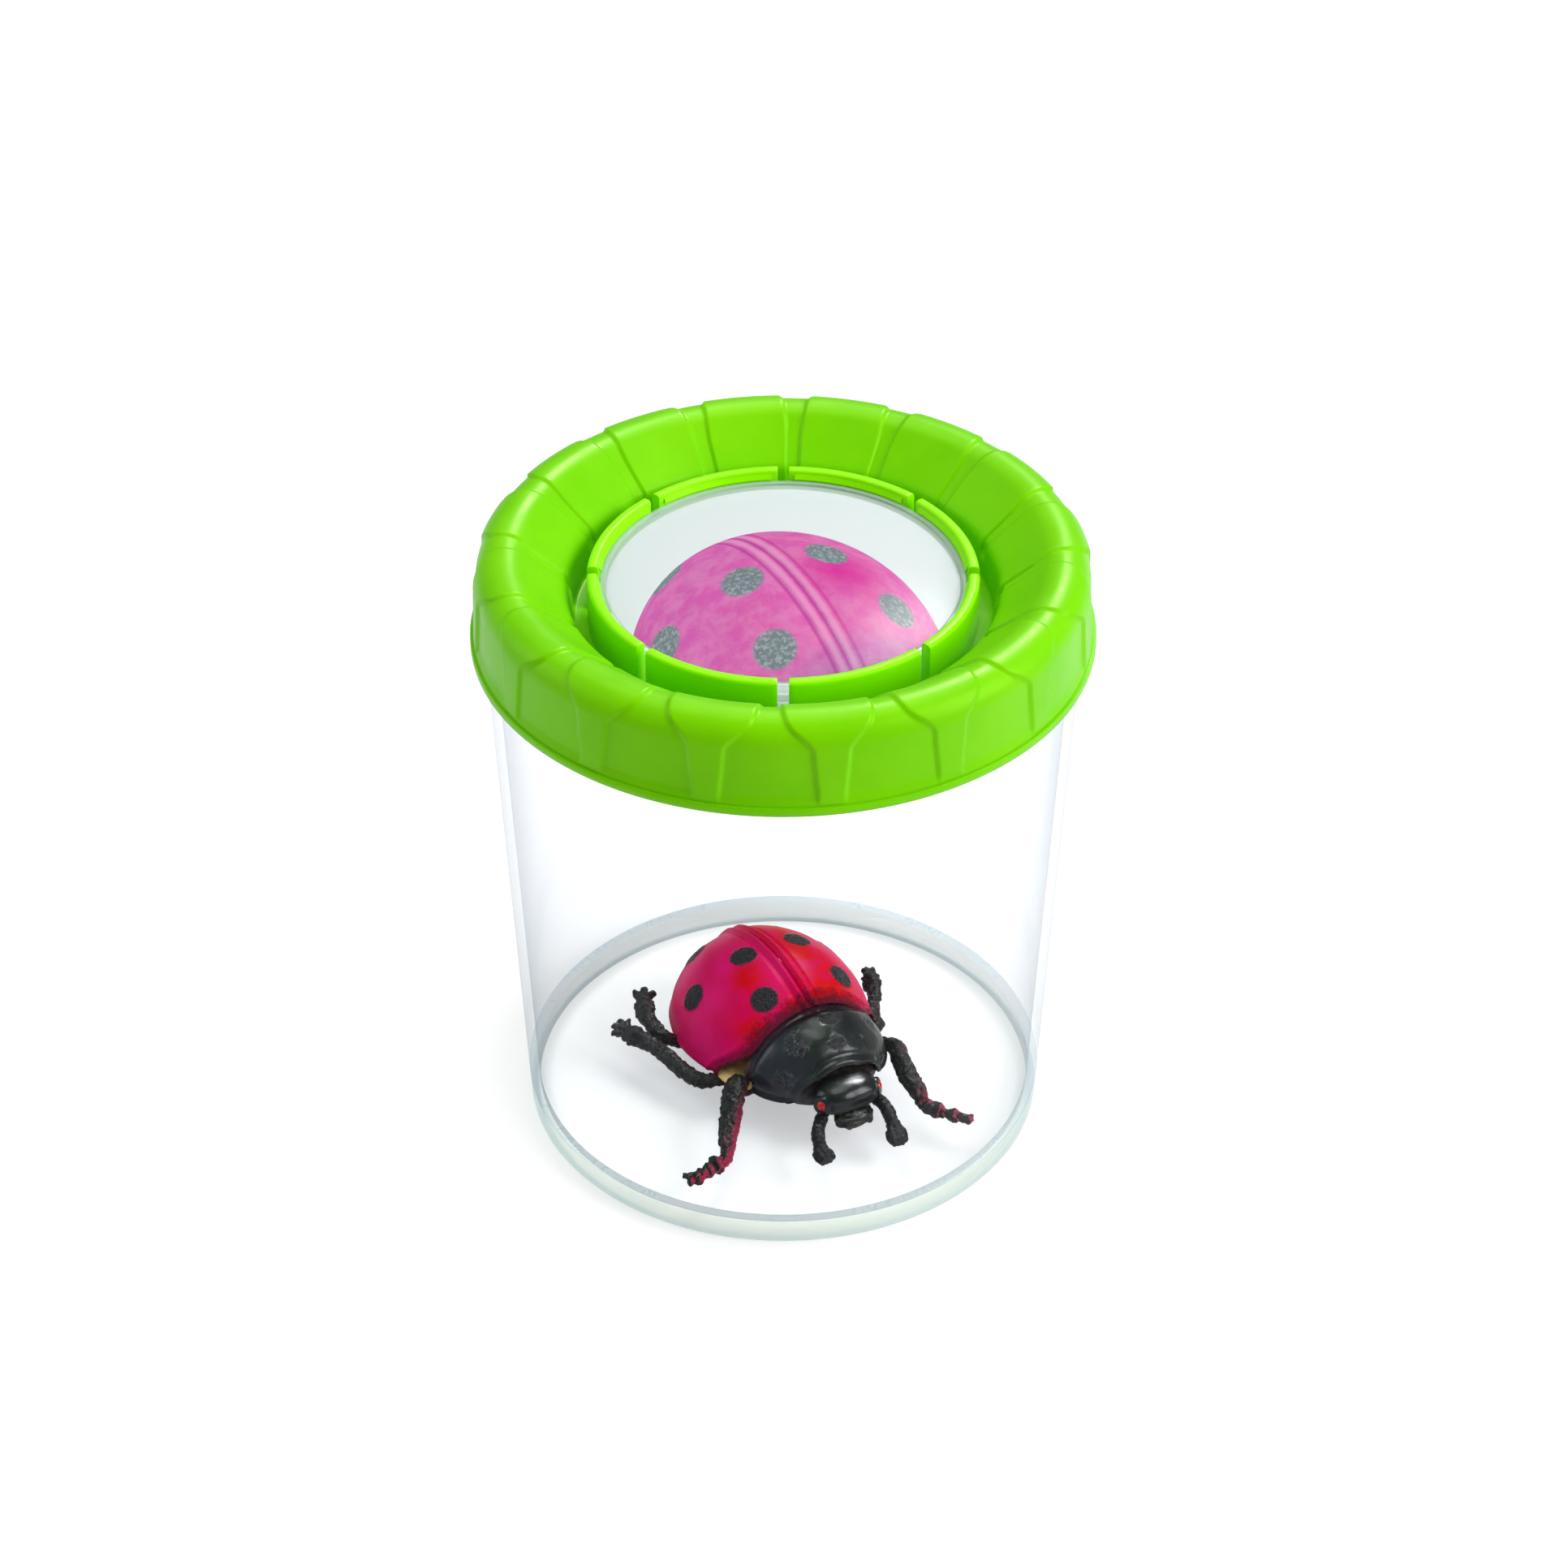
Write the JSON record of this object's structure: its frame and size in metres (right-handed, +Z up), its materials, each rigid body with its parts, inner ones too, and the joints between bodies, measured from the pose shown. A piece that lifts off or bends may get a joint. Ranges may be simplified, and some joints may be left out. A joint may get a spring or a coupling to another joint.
{
  "type": "bug catcher jar",
  "caption": "Clear tapered bug catcher jar with a press-on green ring lid that holds a magnifying lens, and a loose toy ladybird inside.",
  "frame": {"origin": "centre of the circle that the jar's foot stands on", "axes": "+Z up along the jar's axis; -Y towards the picture's camera; +X to its right"},
  "size_m": [0.1098, 0.1098, 0.1187],
  "materials": {
    "clear_wall": "clear polished polystyrene, almost colourless",
    "clear_base": "clear polystyrene, pale green-grey where it is seen edge on",
    "green_lid": "apple green, soft satin gloss",
    "lens": "clear polished lens",
    "wing_red": "painted crimson with rough black spots",
    "belly_cream": "bare cream plastic with dark red at its edges",
    "body_black": "painted black, glossy with rough patches",
    "limb_black": "painted black, knobbly, dark red at the feet",
    "eye_red": "painted red, glossy"
  },
  "bodies": {
    "jar": {"jar_wall": "clear_wall", "jar_base": "clear_base"},
    "lid": {"lid_ring": "green_lid", "magnifier_lens": "lens"},
    "ladybird": {"wing_case_left": "wing_red", "wing_case_right": "wing_red", "neck_shield": "body_black", "underbody": "belly_cream", "head": "body_black", "mouthparts": "body_black", "eye_left": "eye_red", "eye_right": "eye_red", "feeler_left": "limb_black", "feeler_right": "limb_black", "leg_front_left": "limb_black", "leg_front_right": "limb_black", "leg_middle_left": "limb_black", "leg_middle_right": "limb_black", "leg_rear_left": "limb_black", "leg_rear_right": "limb_black"}
  },
  "joints": [
    {"name": "lid_lift", "type": "slide", "parent": "jar", "child": "lid", "axis": [0, 0, 1], "range_m": [0, 0.06]},
    {"name": "ladybird_turn", "type": "hinge", "parent": "jar", "child": "ladybird", "pos_m": [0, 0, 0.0054], "axis": [0, 0, 1], "continuous": true}
  ]
}
